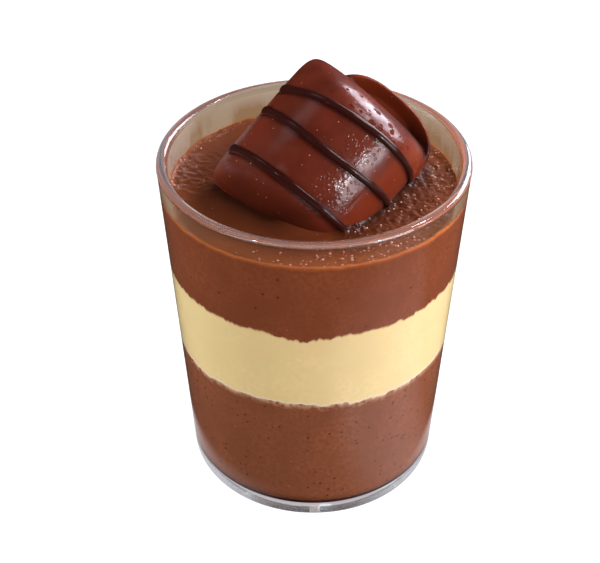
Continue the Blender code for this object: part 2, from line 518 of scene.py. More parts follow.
def mousse_material(name, base, settings, pits, grain):
    """Chocolate mousse against the glass: fine grain, pits in painted shade, a feathered seam, and
    painted light shining through the thin film at its top.
    """
    made = new_material(name, base, 0.7, Specular_IOR_Level=0.0)
    nodes = Nodes(made)
    broad = nodes.ramp(nodes.speckle(140.0), 0.32, 0.68)
    body = nodes.mix(broad, shade(base, 0.90), shade(base, 1.10))
    fine = nodes.ramp(nodes.speckle(1500.0, 2.0), 0.30, 0.70)
    body = nodes.mix(fine, shade(base, grain), body)
    here = nodes.ramp(nodes.speckle(150.0, 2.0), 0.40, 0.62, pits * 0.35, pits)
    # Dark dots: painted shade inside small pockets of air against the glass.
    dark = nodes.dots(820.0, 0.28, here)
    body = nodes.mix(dark, body, shade(base, 0.38))
    pale = nodes.dots(420.0, 0.07, 0.35)
    body = nodes.mix(pale, body, shade(base, 2.2))
    patchy = nodes.ramp(nodes.speckle(900.0, 2.0), 0.30, 0.60)
    feather = nodes.math("MULTIPLY", nodes.value("seam"), patchy)
    body = nodes.mix(feather, body, SEAM_FEATHER)
    # The edge value paints light shining through the thin film at the top of the layer.
    nodes.colour(nodes.mix(nodes.value("edge"), body, tuple(settings.painted_backlight_colour)))
    return made


def wet_material(settings):
    """The wet open surface of the top layer, frothy where its mesh says so."""
    base = tuple(settings.surface_colour)
    made = new_material(
        "wet_mousse_surface",
        base,
        0.5,
        Specular_IOR_Level=0.05,
        Coat_Roughness=0.05,
    )
    nodes = Nodes(made)
    cloudy = nodes.ramp(nodes.speckle(160.0), 0.35, 0.70)
    body = nodes.mix(cloudy, shade(base, 0.90), shade(base, 1.12))
    froth = nodes.value("froth")
    body = nodes.mix(froth, body, FROTH_COLOUR)
    # Painted shade by the bar: the mesh's value darkens the surface there and adds a little gloss.
    painted_shade = nodes.value("painted_shade")
    body = nodes.mix(painted_shade, body, shade(base, 0.18))
    shiny = nodes.ramp(froth, 0.0, 1.0, 0.32, 0.12)
    weight = nodes.math("ADD", shiny, nodes.ramp(painted_shade, 0.4, 1.0, 0.0, 0.12))
    nodes.feed(nodes.shader.inputs["Coat Weight"], weight)
    pale_specks_and_glints = nodes.math("MULTIPLY", nodes.dots(800.0, 0.16, 0.35), froth)
    body = nodes.mix(pale_specks_and_glints, body, FROTH_SPECK)
    # The edge value paints light shining through the thin film near the wall.
    nodes.colour(nodes.mix(nodes.value("edge"), body, tuple(settings.painted_backlight_colour)))
    nodes.relief(nodes.math("MULTIPLY", nodes.speckle(1300.0, 2.0), froth), 0.16 * MM, 0.8)
    return made


def bubble_material():
    """Thin pale bubbles of froth with a bright wet skin."""
    return new_material("froth_bubble", BUBBLE_COLOUR, 0.4, Coat_Weight=1.0, Coat_Roughness=0.05)


def cream_material(settings):
    """The pale middle layer, with a paler mixed zone along its seams."""
    base = tuple(settings.cream_colour)
    made = new_material("vanilla_cream", base, 0.7, Subsurface_Weight=0.2, Specular_IOR_Level=0.0)
    made.node_tree.nodes["Principled BSDF"].inputs["Subsurface Scale"].default_value = 0.8 * MM
    nodes = Nodes(made)
    broad = nodes.ramp(nodes.speckle(120.0), 0.30, 0.70)
    body = nodes.mix(broad, shade(base, 0.95), shade(base, 1.03))
    fine = nodes.ramp(nodes.speckle(1100.0, 2.0), 0.30, 0.70)
    body = nodes.mix(fine, shade(base, 0.965), body)
    spots = nodes.dots(190.0, 0.08, 0.10)
    body = nodes.mix(spots, body, CREAM_SPOT)
    fringe = nodes.value("seam")
    body = nodes.mix(nodes.ramp(fringe, 0.0, 1.0), body, CREAM_UPPER_FRINGE)
    nodes.colour(nodes.mix(nodes.ramp(fringe, 0.0, -1.0), body, CREAM_LOWER_FRINGE))
    return made


def coating_material(settings):
    """Glossy chocolate coating, pebbled and pitted where its mesh says so; its pale dots are
    painted glints, its pits are painted a little darker, and its mesh also paints shade and light
    on it.
    """
    base = tuple(settings.colour)
    made = new_material("chocolate_coating", base, 0.5, Specular_IOR_Level=0.02)
    nodes = Nodes(made)
    broad = nodes.ramp(nodes.speckle(160.0), 0.30, 0.70)
    body = nodes.mix(broad, shade(base, 0.80), shade(base, 1.15))
    # Painted light: the lit right flank and the stub get a lighter, warmer colour.
    body = nodes.mix(nodes.value("painted_flank_light"), body, PAINTED_FLANK_LIGHT)
    # Painted shade from the mesh: on the near end, in the valley and beside the drizzle lines.
    body = nodes.mix(nodes.value("painted_shade"), body, shade(base, 0.25))
    # Pale dots: painted glints of the coating's tiny bumps.
    pale_specks_and_glints = nodes.dots(800.0, 0.11, 0.45)
    body = nodes.mix(pale_specks_and_glints, body, PAINTED_COATING_GLINT)
    shoulder = nodes.value("shoulder")
    pits = nodes.math("MAXIMUM", nodes.dots(560.0, 0.40, 0.5), nodes.dots(900.0, 0.36, 0.4))
    pits = nodes.math("MULTIPLY", pits, nodes.ramp(shoulder, 0.1, 0.4))
    # The pits are painted a little darker: painted shade inside them.
    nodes.colour(nodes.mix(pits, body, shade(base, 0.8)))
    patchy = nodes.ramp(nodes.speckle(420.0, 2.0), 0.35, 0.65, 0.45, 0.95)
    weight = nodes.math("MULTIPLY", nodes.ramp(shoulder, 0.0, 1.0, 0.40, 0.80), patchy)
    grain = nodes.value("grain")
    weight = nodes.math("ADD", weight, nodes.ramp(grain, 0.15, 0.8, 0.0, 0.55))
    weight = nodes.math("SUBTRACT", weight, nodes.math("MULTIPLY", pits, 0.7))
    nodes.feed(nodes.shader.inputs["Coat Weight"], weight)
    smooth = nodes.ramp(shoulder, 0.0, 1.0, 0.27, 0.20)
    rough = nodes.math("SUBTRACT", smooth, nodes.ramp(grain, 0.3, 0.9, 0.0, 0.12))
    nodes.feed(nodes.shader.inputs["Coat Roughness"], rough)
    pebbles = nodes.math("ADD", nodes.dots(1500.0, 0.45, 0.6), nodes.speckle(1500.0, 2.0))
    height = nodes.math("MULTIPLY", pebbles, grain)
    height = nodes.math("SUBTRACT", height, nodes.math("MULTIPLY", pits, 1.5))
    nodes.relief(height, 0.05 * MM, 1.0)
    return made


def drizzle_material(settings):
    """Dark glossy drizzle."""
    base = tuple(settings.colour)
    return new_material(
        "dark_drizzle", base, 0.5, Coat_Weight=0.35, Coat_Roughness=0.12, Specular_IOR_Level=0.02
    )


# ---------------------------------------------------------------- glass


class GlassShape:
    """Radii of the glass's wall at any height, from its settings."""

    def __init__(self, settings):
        self.rim_radius = GLASS_HIGH.x
        self.height = GLASS_HIGH.z
        self.heel_radius = settings.heel_radius
        self.foot_radius = settings.foot_radius
        self.wall = settings.wall
        self.floor = settings.floor

    def outer(self, height):
        """Radius of the straight outer wall."""
        share = (height - HEEL_HEIGHT) / (self.height - HEEL_HEIGHT)
        return blend(self.heel_radius, self.rim_radius, share)

    def inner(self, height):
        """Radius of the space inside, above its rounded bottom corner."""
        return self.outer(height) - self.wall

    def inner_heel(self, reach=0.0, count=12):
        """The rounded bottom corner of the space inside, from the wall to the floor."""
        top = self.floor + INNER_HEEL_HEIGHT
        across = self.inner(top) - INNER_FOOT_RADIUS + reach
        up = INNER_HEEL_HEIGHT + reach
        return arc(INNER_FOOT_RADIUS, top, across, up, 0, -90, count)

    def profile(self):
        """(radius, height) points from the foot's middle, up the outside and down the inside."""
        lip = self.wall / 2
        points = [(0.0, FOOT_HOLLOW_DEPTH), (FOOT_HOLLOW_RADIUS * 0.5, FOOT_HOLLOW_DEPTH)]
        points += arc(FOOT_HOLLOW_RADIUS * 0.9, 0.0, FOOT_HOLLOW_RADIUS * 0.1,
                      FOOT_HOLLOW_DEPTH, 90, 0, 5)
        across = self.heel_radius - self.foot_radius
        points += arc(self.foot_radius, HEEL_HEIGHT, across, HEEL_HEIGHT, -90, 0, 14)
        points += self.wall_points(self.outer, HEEL_HEIGHT, self.height - lip)
        points += arc(self.rim_radius - lip, self.height - lip, lip, lip, 0, 180, 16)
        points += self.wall_points(self.inner, self.height - lip, self.floor + INNER_HEEL_HEIGHT)
        points += self.inner_heel()
        points += [(INNER_FOOT_RADIUS * 0.5, self.floor), (0.0, self.floor)]
        return points

    def painted_glass_sheen(self, place):
        """How much pale painted reflection the glass gets at a place: its foot does, and its lip a
        little.
        """
        lip = smoothstep(self.height - self.wall / 2, self.height - self.wall / 4, place.z)
        return 0.03 * (1.0 - smoothstep(0.8 * MM, 3.2 * MM, place.z)) + 0.02 * lip

    def film(self, place, level):
        """How much thin mousse clings to the inside of the wall, mostly at the back."""
        radius = math.hypot(place.x, place.y)
        inside = 1.0 - smoothstep(0.2 * MM, 0.5 * MM, abs(radius - self.inner(place.z)))
        back = smoothstep(-0.80, 0.20, place.y / radius) if radius > 0 else 0.0
        above = smoothstep(level - 2.0 * MM, level, place.z)
        rise = smoothstep(level, self.height, place.z)
        return inside * back * above * (1.0 - rise)

    def wall_points(self, radius_at, start, end, count=30):
        """Points between the ends of a straight wall, closer together near the lip."""
        points = []
        for index in range(1, count):
            share = index / count
            share = 1.0 - (1.0 - share) ** 2 if end > start else share * share
            height = blend(start, end, share)
            points.append((radius_at(height), height))
        return points


class MOUSSE_OT_glass(bpy.types.Operator):
    """Makes the clear glass with its rounded rim, thick floor and hollowed foot"""

    bl_idname = "mousse.glass"
    bl_label = "Glass"

    def execute(self, context):
        settings = context.scene.mousse_glass
        rings = []
        for radius, height in GlassShape(settings).profile():
            ring = [(0.0, 0.0, height)] if radius == 0 else circle(radius, height, settings.steps)
            rings.append(ring)
        mesh = ring_mesh("tumbler", rings)
        shape = GlassShape(settings)
        level = context.scene.mousse_filling.level
        add_values(mesh, "painted_glass_sheen", [shape.painted_glass_sheen(vertex.co) for vertex in mesh.vertices])
        add_values(mesh, "film", [shape.film(vertex.co, level) for vertex in mesh.vertices])
        add_piece("tumbler", mesh, [glass_material(settings)], "glass")
        return {"FINISHED"}


# ---------------------------------------------------------------- filling


def seam(angle, level, seed, depth):
    """Height of an uneven seam between two layers, at an angle round the glass."""
    place = Vector((math.cos(angle), math.sin(angle), seed))
    broad = noise.noise(place * 1.6) * 1.2
    lobes = 0.5 - abs(noise.noise(place * 7.0)) * 2.2
    ragged = 0.45 - abs(noise.noise(place * 19.0)) * 2.0 + noise.noise(place * 47.0) * 1.1
    where = smoothstep(-0.25, 0.25, noise.noise(place * 2.7 + Vector((4.0, 9.0, 2.0))))
    return level + depth * (broad + lobes * 0.9 - ragged * (0.45 + 0.65 * where))


def lower_seam(angle, filling):
    """Seam between the bottom mousse and the cream."""
    return seam(angle, CREAM_LOW.z, 3.7, filling.seam_depth)


def upper_seam(angle, filling):
    """Seam between the cream and the top mousse."""
    turn = (math.degrees(angle) + 180.0) % 360.0 - 180.0
    lobe = (0.4 * bump(turn, -84.0, 1.3) + 1.1 * bump(turn, -94.0, 8.0)) * MM
    return seam(angle, CREAM_HIGH.z + 0.15 * MM, 11.3, filling.seam_depth) - lobe


def side_ring(shape, height_at, steps):
    """A ring just inside the glass's wall, whose height changes with the angle."""
    ring = []
    for step in range(steps):
        angle = math.tau * step / steps
        height = height_at(angle)
        radius = shape.inner(height) + REACH
        ring.append((radius * math.cos(angle), radius * math.sin(angle), height))
    return ring


def side_rings(shape, low_at, high_at, shares, steps):
    """Rings up the wall between two uneven edges."""
    rings = []
    for share in shares:
        rings.append(
            side_ring(shape, lambda angle: blend(low_at(angle), high_at(angle), share), steps)
        )
    return rings


def pole(height):
    """A ring of one point on the axis."""
    return [(0.0, 0.0, height)]


SIDE_SHARES = (0.0, 0.01, 0.025, 0.06, 0.13, 0.25, 0.4, 0.6, 0.75, 0.87, 0.94, 0.97, 0.985, 1.0)


class MOUSSE_OT_bottom_layer(bpy.types.Operator):
    """Makes the lowest layer of chocolate mousse"""

    bl_idname = "mousse.bottom_layer"
    bl_label = "Bottom mousse"

    def execute(self, context):
        filling = context.scene.mousse_filling
        shape = GlassShape(context.scene.mousse_glass)
        heel = shape.inner_heel(reach=REACH)
        middle = circle(INNER_FOOT_RADIUS * 0.5, heel[-1][1], filling.steps)
        rings = [pole(shape.floor - REACH), middle]
        rings += [circle(radius, height, filling.steps) for radius, height in reversed(heel)]
        rings += side_rings(
            shape,
            lambda angle: heel[0][1],
            lambda angle: lower_seam(angle, filling),
            SIDE_SHARES[1:],
            filling.steps,
        )
        rings.append(circle(shape.inner(CREAM_LOW.z) * 0.5, CREAM_LOW.z, filling.steps))
        rings.append(pole(CREAM_LOW.z))
        mesh = ring_mesh("bottom_mousse", rings)
        base = tuple(filling.bottom_colour)
        seams = [0.0] * (1 + filling.steps * (len(heel) + len(SIDE_SHARES) - 3))
        for value in (0.3, 0.65, 1.0):
            seams += [value] * filling.steps
        seams += [0.0] * (1 + filling.steps)
        add_values(mesh, "seam", seams)
        materials = [mousse_material("chocolate_mousse_bottom", base, filling, 0.5, 0.84)]
        add_piece("bottom_mousse", mesh, materials, "mousse_bottom")
        return {"FINISHED"}


class MOUSSE_OT_cream(bpy.types.Operator):
    """Makes the pale cream layer between its two uneven seams"""

    bl_idname = "mousse.cream"
    bl_label = "Cream"

    def execute(self, context):
        filling = context.scene.mousse_filling
        shape = GlassShape(context.scene.mousse_glass)
        rings = [pole(CREAM_LOW.z)]
        rings.append(circle(shape.inner(CREAM_LOW.z) * 0.5, CREAM_LOW.z, filling.steps))
        sides = side_rings(
            shape,
            lambda angle: lower_seam(angle, filling),
            lambda angle: upper_seam(angle, filling),
            SIDE_SHARES,
            filling.steps,
        )
        rings += sides
        rings.append(circle(shape.inner(CREAM_HIGH.z) * 0.5, CREAM_HIGH.z, filling.steps))
        rings.append(pole(CREAM_HIGH.z))
        mesh = ring_mesh("cream_layer", rings)
        fringe = {0: 0.9, 1: 0.75, 2: 0.35, len(sides) - 2: -0.35, len(sides) - 1: -0.7}
        values = [0.0] * (1 + filling.steps)
        for index in range(len(sides)):
            values += [fringe.get(index, 0.0)] * filling.steps
        values += [0.0] * (1 + filling.steps)
        add_values(mesh, "seam", values)
        materials = [cream_material(filling)]
        add_piece("cream_layer", mesh, materials, "cream_middle")
        return {"FINISHED"}


class TopSurface:
    """Height and looks of the top layer's open surface at any place."""

    def __init__(self, filling, shape, bar_tree):
        self.filling = filling
        self.shape = shape
        self.bar_tree = bar_tree

    def froth(self, x, y):
        """How frothy the surface is: right of the bar and in the front right."""
        angle = math.atan2(y, x)
        radius = math.hypot(x, y)
        right = smoothstep(math.radians(-100), math.radians(-70), angle)
        right *= 1.0 - smoothstep(math.radians(35), math.radians(75), angle)
        front = bump(math.degrees(angle), -92.0, 22.0) * smoothstep(18 * MM, 23 * MM, radius)
        return max(right * smoothstep(9 * MM, 14 * MM, radius), 0.8 * front)

    def foam(self, angle, wall_gap):
        """How many bubbles gather where the surface meets the glass, back on the left."""
        turn = math.degrees(angle) % 360.0
        return 5.0 * bump(turn, 150.0, 42.0) * math.exp(-wall_gap / (0.5 * MM))

    def ripple(self, x, y):
        """How rippled the surface is: left of the bar, towards the back."""
        return bump(x, -20 * MM, 6 * MM) * bump(y, 3.0 * MM, 9 * MM)

    def painted_shade(self, x, y):
        """Painted shade on the surface: in the nook on the left under the leaning bar and close
        round its foot on the right, plus a broad darkening of the surface on the left.
        """
        dim = 0.35 * smoothstep(-8 * MM, 2 * MM, y) * (1.0 - smoothstep(-8 * MM, 0.0, x))
        gap = self.bar_tree.find_nearest(Vector((x, y, self.filling.level)), 7 * MM)[3]
        if gap is None:
            return dim
        angle = math.degrees(math.atan2(y, x)) % 360.0
        left = smoothstep(165, 190, angle) * (1.0 - smoothstep(232, 262, angle))
        right = smoothstep(275, 290, angle) + 1.0 - smoothstep(10, 40, angle)
        left *= 1.5 * math.exp(-gap / (2.6 * MM))
        right *= 1.2 * math.exp(-gap / (2.2 * MM))
        return max(dim, min(1.0, max(left, right)))

    def edge(self, angle, wall_gap):
        """How much painted light, shining through a thin film, the surface gets near the wall,
        less so at the back.
        """
        film = 1.0 - smoothstep(0.35 * MM, 1.2 * MM, wall_gap)
        film = max(film, 0.30 * (1.0 - smoothstep(1.0 * MM, 6.0 * MM, wall_gap)))
        return film * (1.0 - 0.65 * smoothstep(-0.7, 0.1, math.sin(angle)))

    def meniscus(self, angle, wall_gap):
        """Climb of the surface towards the wall."""
        place = Vector((math.cos(angle), math.sin(angle), 5.0))
        uneven = 1.0 + 0.35 * noise.noise(place * 9.0) + 0.25 * noise.noise(place * 26.0)
        uneven += 1.1 * bump(math.degrees(angle), -38.0, 17.0)
        reach = max(0.0, 1.0 - wall_gap / self.filling.meniscus_width)
        return self.filling.meniscus_rise * uneven * reach * reach

    def settled(self, y):
        """Level of the calm surface, which sank a little more towards the back."""
        return self.filling.level - SINK_TO_BACK * y

    def contact_height(self, angle):
        """Height of the line where the surface meets the glass."""
        y = self.shape.inner(self.filling.level) * math.sin(angle)
        return self.settled(y) + self.meniscus(angle, 0.0)

    def height(self, x, y):
        """Height of the open surface."""
        radius = math.hypot(x, y)
        angle = math.atan2(y, x)
        level = self.filling.level
        wall_gap = max(0.0, self.shape.inner(level) + REACH - radius)
        place = Vector((x, y, 0.0)) / MM
        rise = self.meniscus(angle, wall_gap)
        rise += 0.09 * MM * noise.noise(place * 0.11)
        calm = smoothstep(0.0, 1.2 * MM, wall_gap)
        froth = self.froth(x, y) * calm
        lumps = noise.noise(place * 0.6) * 0.18 + noise.noise(place * 1.25) * 0.15
        rise += MM * froth * lumps
        folded = Vector((place.x * 0.34 - place.y * 0.12, place.y * 0.46 + place.x * 0.16, 3.0))
        folds = 0.42 * (0.4 - abs(noise.noise(folded))) + 0.10 * noise.noise(folded * 2.6)
        rise += MM * self.ripple(x, y) * calm * folds
        rise += self.bar_collar(x, y, level)
        return self.settled(y) + rise

    def bar_collar(self, x, y, level):
        """Small wet climb of the surface where it meets the bar."""
        spot, _, _, gap = self.bar_tree.find_nearest(Vector((x, y, level)), 4 * MM)
        if spot is None:
            return 0.0
        angle = math.degrees(math.atan2(y, x))
        right = smoothstep(-115, -80, angle) * (1.0 - smoothstep(20, 60, angle))
        bead = bump(angle, -68, 8)
        climb = (0.10 + 0.20 * right) * math.exp(-gap / (0.5 * MM))
        climb += 0.55 * math.exp(-gap / (1.4 * MM))
        wet = 0.5 + abs(noise.noise(Vector((x, y, 2.0)) / (0.8 * MM)))
        climb += bead * 1.0 * wet * math.exp(-((gap / (1.0 * MM)) ** 2))
        return climb * MM


class MOUSSE_OT_top_layer(bpy.types.Operator):
    """Makes the top layer of chocolate mousse with its wet, uneven surface"""

    bl_idname = "mousse.top_layer"
    bl_label = "Top mousse"

    def execute(self, context):
        filling = context.scene.mousse_filling
        shape = GlassShape(context.scene.mousse_glass)
        surface = TopSurface(filling, shape, bar_tree())
        steps = filling.steps
        rings = [pole(CREAM_HIGH.z), circle(shape.inner(CREAM_HIGH.z) * 0.5, CREAM_HIGH.z, steps)]
        shares = SIDE_SHARES[:-1] + (1.0,)
        rings += side_rings(
            shape, lambda angle: upper_seam(angle, filling), surface.contact_height, shares, steps
        )
        below = 1 + steps * (1 + len(shares))
        values = {name: [0.0] * below for name in ("open", "edge", "froth", "painted_shade")}
        # The top rings of the side get painted light shining through the thin film.
        values["edge"][-3 * steps :] = [0.3] * steps + [0.8] * steps + [1.0] * steps
        wall = shape.inner(filling.level) + REACH
        radii = [wall - 0.2 * MM * index for index in range(1, 74)]
        radii += [radii[-1] * (1.0 - index / 12) for index in range(1, 12)]
        for radius in radii:
            ring = []
            for step in range(steps):
                angle = math.tau * step / steps
                x, y = radius * math.cos(angle), radius * math.sin(angle)
                ring.append((x, y, surface.height(x, y)))
                values["open"].append(1.0)
                values["edge"].append(surface.edge(angle, wall - radius))
                values["froth"].append(max(surface.froth(x, y), 0.8 * surface.ripple(x, y)))
                # Painted shade by the bar, for the wet material.
                values["painted_shade"].append(surface.painted_shade(x, y))
            rings.append(ring)
        rings.append(pole(filling.level))
        mesh = ring_mesh("top_mousse", rings)
        for name, numbers in values.items():
            add_values(mesh, name, numbers + [float(name == "open")])
        base = tuple(filling.top_colour)
        seams = [0.0] * (1 + steps) + [0.7] * steps + [0.25] * steps
        add_values(mesh, "seam", seams + [0.0] * (len(mesh.vertices) - len(seams)))
        against_glass = mousse_material("chocolate_mousse_top", base, filling, 0.06, 0.88)
        wet = wet_material(filling)
        add_piece("top_mousse", mesh, [against_glass, wet], "mousse_top")
        for polygon in mesh.polygons:
            lowest = min(mesh.attributes["open"].data[index].value for index in polygon.vertices)
            polygon.material_index = int(lowest > 0.5)
        self.add_bubbles(surface, wall, bubble_material())
        return {"FINISHED"}

    @staticmethod
    def add_bubbles(surface, wall, material):
        """Scatters tiny glossy bubbles over the frothy side of the surface."""
        picks = random.Random(41)
        work = bmesh.new()
        made = 0
        while made < BUBBLE_COUNT:
            radius = wall * math.sqrt(picks.random())
            angle = math.tau * picks.random() - math.pi
            x, y = radius * math.cos(angle), radius * math.sin(angle)
            size = (0.06 + 0.20 * picks.random() ** 4) * MM
            near_glass = 1.0 - smoothstep(0.5 * MM, 5.0 * MM, wall - radius)
            chance = 0.006 + surface.froth(x, y) * blend(0.3, 1.0, near_glass)
            chance += surface.foam(angle, wall - radius)
            crowded = noise.noise(Vector((x, y, 7.0)) / (2.2 * MM)) > -0.05
            if picks.random() > chance or not crowded or wall - radius < size:
                continue
            if surface.bar_tree.find_nearest(Vector((x, y, surface.filling.level)), 0.4 * MM)[0]:
                continue
            place = Vector((x, y, surface.height(x, y) - size * 0.25))
            squat = Matrix.Diagonal((size, size, size * 0.75, 1.0))
            bmesh.ops.create_icosphere(
                work, subdivisions=2, radius=1.0, matrix=Matrix.Translation(place) @ squat
            )
            made += 1
        mesh = bpy.data.meshes.new("froth_bubbles")
        work.to_mesh(mesh)
        work.free()
        add_piece("froth_bubbles", mesh, [material], "mousse_top")


# ---------------------------------------------------------------- bar segment


def bar_frame(bar):
    """Maps the bar's own (along, across, up) places to the world."""
    level_run = Vector((math.cos(bar.heading), math.sin(bar.heading), 0.0))
    along = level_run * math.cos(bar.pitch) + Vector((0.0, 0.0, math.sin(bar.pitch)))
    level = Vector((math.sin(bar.heading), -math.cos(bar.heading), 0.0))
    upright = level.cross(along).normalized()
    across = level * math.cos(bar.roll) - upright * math.sin(bar.roll)
    crown = upright * math.cos(bar.roll) + level * math.sin(bar.roll)
    placed = Matrix((along, across, crown)).transposed().to_4x4()
    placed.translation = Vector(bar.centre)
    return placed


def rounded_outline(half_s, half_t, power, steps):
    """Points round a rectangle with soft corners, taken at even angles."""
    outline = []
    for index in range(steps):
        angle = math.tau * index / steps
        ahead = math.cos(angle)
        aside = math.sin(angle)
        reach = (abs(ahead / half_s) ** power + abs(aside / half_t) ** power) ** (-1.0 / power)
        outline.append((ahead * reach, aside * reach))
    return outline


def dome_width(bar, share):
    """Half width of the segment's footprint at a share of its half length."""
    return bar.width / 2 * (1.0 - share**CORNER_POWER) ** (1.0 / CORNER_POWER)


def crown_height(bar, s, t):
    """Height of the dome above the segment's base, at a place in its footprint."""
    end = min(1.0, abs(s) / (bar.length / 2))
    width = dome_width(bar, end)
    side = min(1.0, abs(t) / width) if width > 0 else 1.0
    arch = (1.0 - side**ARCH_POWER) ** (1.0 / ARCH_ROOT)
    fall = (1.0 - end**END_POWER) ** (1.0 / END_ROOT)
    return bar.crown * arch * fall


def dome_rings(bar):
    """Rings of the segment's dome and base, in its own frame."""
    outline = rounded_outline(bar.length / 2, bar.width / 2, CORNER_POWER, 240)
    rings = [[(0.0, 0.0, -bar.base)], [(s, t, -bar.base) for s, t in outline]]
    for index in range(60):
        inset = math.sin(math.pi / 2 * (1.0 - index / 60))
        rings.append([(s * inset, t * inset, crown_height(bar, s * inset, t * inset))
                      for s, t in outline])
    rings.append([(0.0, 0.0, bar.crown)])
    return rings


# Snapped-off start of the next segment, past the valley at the bar's far end
STUB_CENTRE = (10.0 * MM, 3.2 * MM)
STUB_HALF_LENGTH = 8.6 * MM
STUB_HALF_WIDTH = 11.5 * MM
STUB_POWER = 2.6
STUB_SECTION = (
    (0.97, -2.0 * MM),
    (1.00, -1.4 * MM),
    (1.00, 1.6 * MM),
    (0.98, 2.9 * MM),
    (0.93, 3.6 * MM),
    (0.87, 3.1 * MM),
    (0.72, 1.5 * MM),
    (0.40, 1.5 * MM),
)


def stub_rings():
    """Rings of the next segment's snapped-off start: an oval plate with a raised edge."""
    outline = rounded_outline(STUB_HALF_LENGTH, STUB_HALF_WIDTH, STUB_POWER, 160)
    centre_s, centre_t = STUB_CENTRE
    rings = [[(centre_s, centre_t, STUB_SECTION[0][1])]]
    for inset, height in STUB_SECTION:
        rings.append([(centre_s + s * inset, centre_t + t * inset, height) for s, t in outline])
    rings.append([(centre_s, centre_t, STUB_SECTION[-1][1])])
    return rings


def merged_skin(meshes, voxel, smoothing):
    """One smooth skin round several closed meshes given in millimetres."""
    work = bmesh.new()
    for mesh in meshes:
        work.from_mesh(mesh)
    both = bpy.data.meshes.new("both")
    work.to_mesh(both)
    work.free()
    holder = bpy.data.objects.new("both", both)
    bpy.context.scene.collection.objects.link(holder)
    skin = holder.modifiers.new("Skin", "REMESH")
    skin.mode = "VOXEL"
    skin.voxel_size = voxel
    relax = holder.modifiers.new("Relax", "SMOOTH")
    relax.factor = 0.5
    relax.iterations = smoothing
    graph = bpy.context.evaluated_depsgraph_get()
    made = bpy.data.meshes.new_from_object(holder.evaluated_get(graph))
    bpy.data.objects.remove(holder)
    return made


def coating_grain(s, t):
    """How pebbled the coating is at a place on the segment, in millimetres."""
    crown = bump(s, 4.4, 3.0) * smoothstep(-3.0, 1.5, t) * (1.0 - smoothstep(5.5, 7.5, t))
    near = bump(s, -5.0, 3.8) * smoothstep(-2.0, 1.5, t) * (1.0 - smoothstep(6.8, 8.2, t))
    low = bump(s, -10.0, 1.5) * bump(t, 2.5, 2.0)
    return min(1.0, 0.16 + crown + near + low)


def shoulder_share(s, t):
    """How near a place is to the wet, pitted shoulder by the far valley, in millimetres."""
    along = smoothstep(-10.0, -7.0, t) * (1.0 - smoothstep(8.5, 10.5, t))
    return along * bump(s, 10.0, 1.9)


def coating_relief(bar, s, t):
    """Small bumps and the crease of the coating, in millimetres."""
    place = Vector((s, t, 0.0))
    grain = bar.grain / MM * coating_grain(s, t)
    pebbles = noise.noise(place * 1.9) + 0.6 * noise.noise(place * 3.7)
    wave = 0.06 * noise.noise(place * 0.22) + 0.020 * noise.noise(place * 0.7)
    crease_t = 8.0 + 0.25 * (s + 4.0) * 0.2
    crease = -0.10 * bump(t, crease_t, 0.25) * bump(s, -4.4, 3.0)
    return grain * pebbles + wave + crease


def painted_drizzle_shadow(bar, line, place):
    """How much painted shadow a place, in millimetres, gets on the near side of a drizzle line's
    foot.
    """
    start, slant, bow = line
    half = bar.length / 2 / MM
    width = dome_width(bar, min(1.0, abs(place.x) / half)) / MM
    if width <= 0:
        return 0.0
    side = max(-1.0, min(1.0, place.y / width))
    along = (start + slant * side + bow * (1 - side * side)) * half
    return bump(place.x - along, -0.8, 0.45)


def bar_mesh(bar):
    """The coated segment with the start of its neighbour, as one skin in the world."""
    scaled = []
    for name, rings in (("dome", dome_rings(bar)), ("stub", stub_rings())):
        mesh = ring_mesh(name, [[Vector(point) / MM for point in ring] for ring in rings])
        scaled.append(mesh)
    skin = merged_skin(scaled, 0.22, 3)
    skin.update()
    placed = bar_frame(bar)
    grain_values = []
    painted_flank_light_values = []
    painted_shade_values = []
    shoulder_values = []
    normals = [vertex.normal.copy() for vertex in skin.vertices]
    for vertex, normal in zip(skin.vertices, normals):
        place = vertex.co.copy()
        above = smoothstep(1.0, 3.0, place.z)
        grain_values.append(coating_grain(place.x, place.y) * above)
        # Painted light on the right flank and on the stub, which face the light.
        stub = smoothstep(12.8, 14.6, place.x)
        painted_flank_light_values.append(max(smoothstep(7.2, 9.6, place.y) * above * 0.8, stub))
        # Painted shade: darker towards the near end, which faces away from the light, in the
        # valley before the stub, and on the near side of each drizzle line.
        near = 1.0 - smoothstep(-15.0, -8.0, place.x + 0.25 * place.y)
        valley = bump(place.x, 14.2, blend(1.0, 2.0, smoothstep(2.0, 9.0, place.y)))
        drizzle_shadow = max(painted_drizzle_shadow(bar, line, place) for line in DRIZZLES) * above
        near *= blend(0.3, 0.8, smoothstep(-8.0, 2.0, place.y))
        painted_shade_values.append(max(near, valley, 0.9 * drizzle_shadow))
        shoulder_values.append(shoulder_share(place.x, place.y) * above)
        place += normal * coating_relief(bar, place.x, place.y) * above
        vertex.co = placed @ (place * MM)
    add_values(skin, "grain", grain_values)
    add_values(skin, "painted_flank_light", painted_flank_light_values)
    add_values(skin, "painted_shade", painted_shade_values)
    add_values(skin, "shoulder", shoulder_values)
    return skin


def bar_tree():
    """A search tree of the bar piece's surface."""
    piece = bpy.data.objects["coated_bar"]
    return BVHTree.FromPolygons(
        [vertex.co for vertex in piece.data.vertices],
        [polygon.vertices[:] for polygon in piece.data.polygons],
    )


class MOUSSE_OT_bar(bpy.types.Operator):
    """Makes the coated bar segment that leans out of the mousse"""

    bl_idname = "mousse.bar"
    bl_label = "Bar segment"

    def execute(self, context):
        bar = context.scene.mousse_bar
        materials = [coating_material(bar)]
        add_piece("coated_bar", bar_mesh(bar), materials, "bar_segment")
        return {"FINISHED"}


# ---------------------------------------------------------------- drizzle

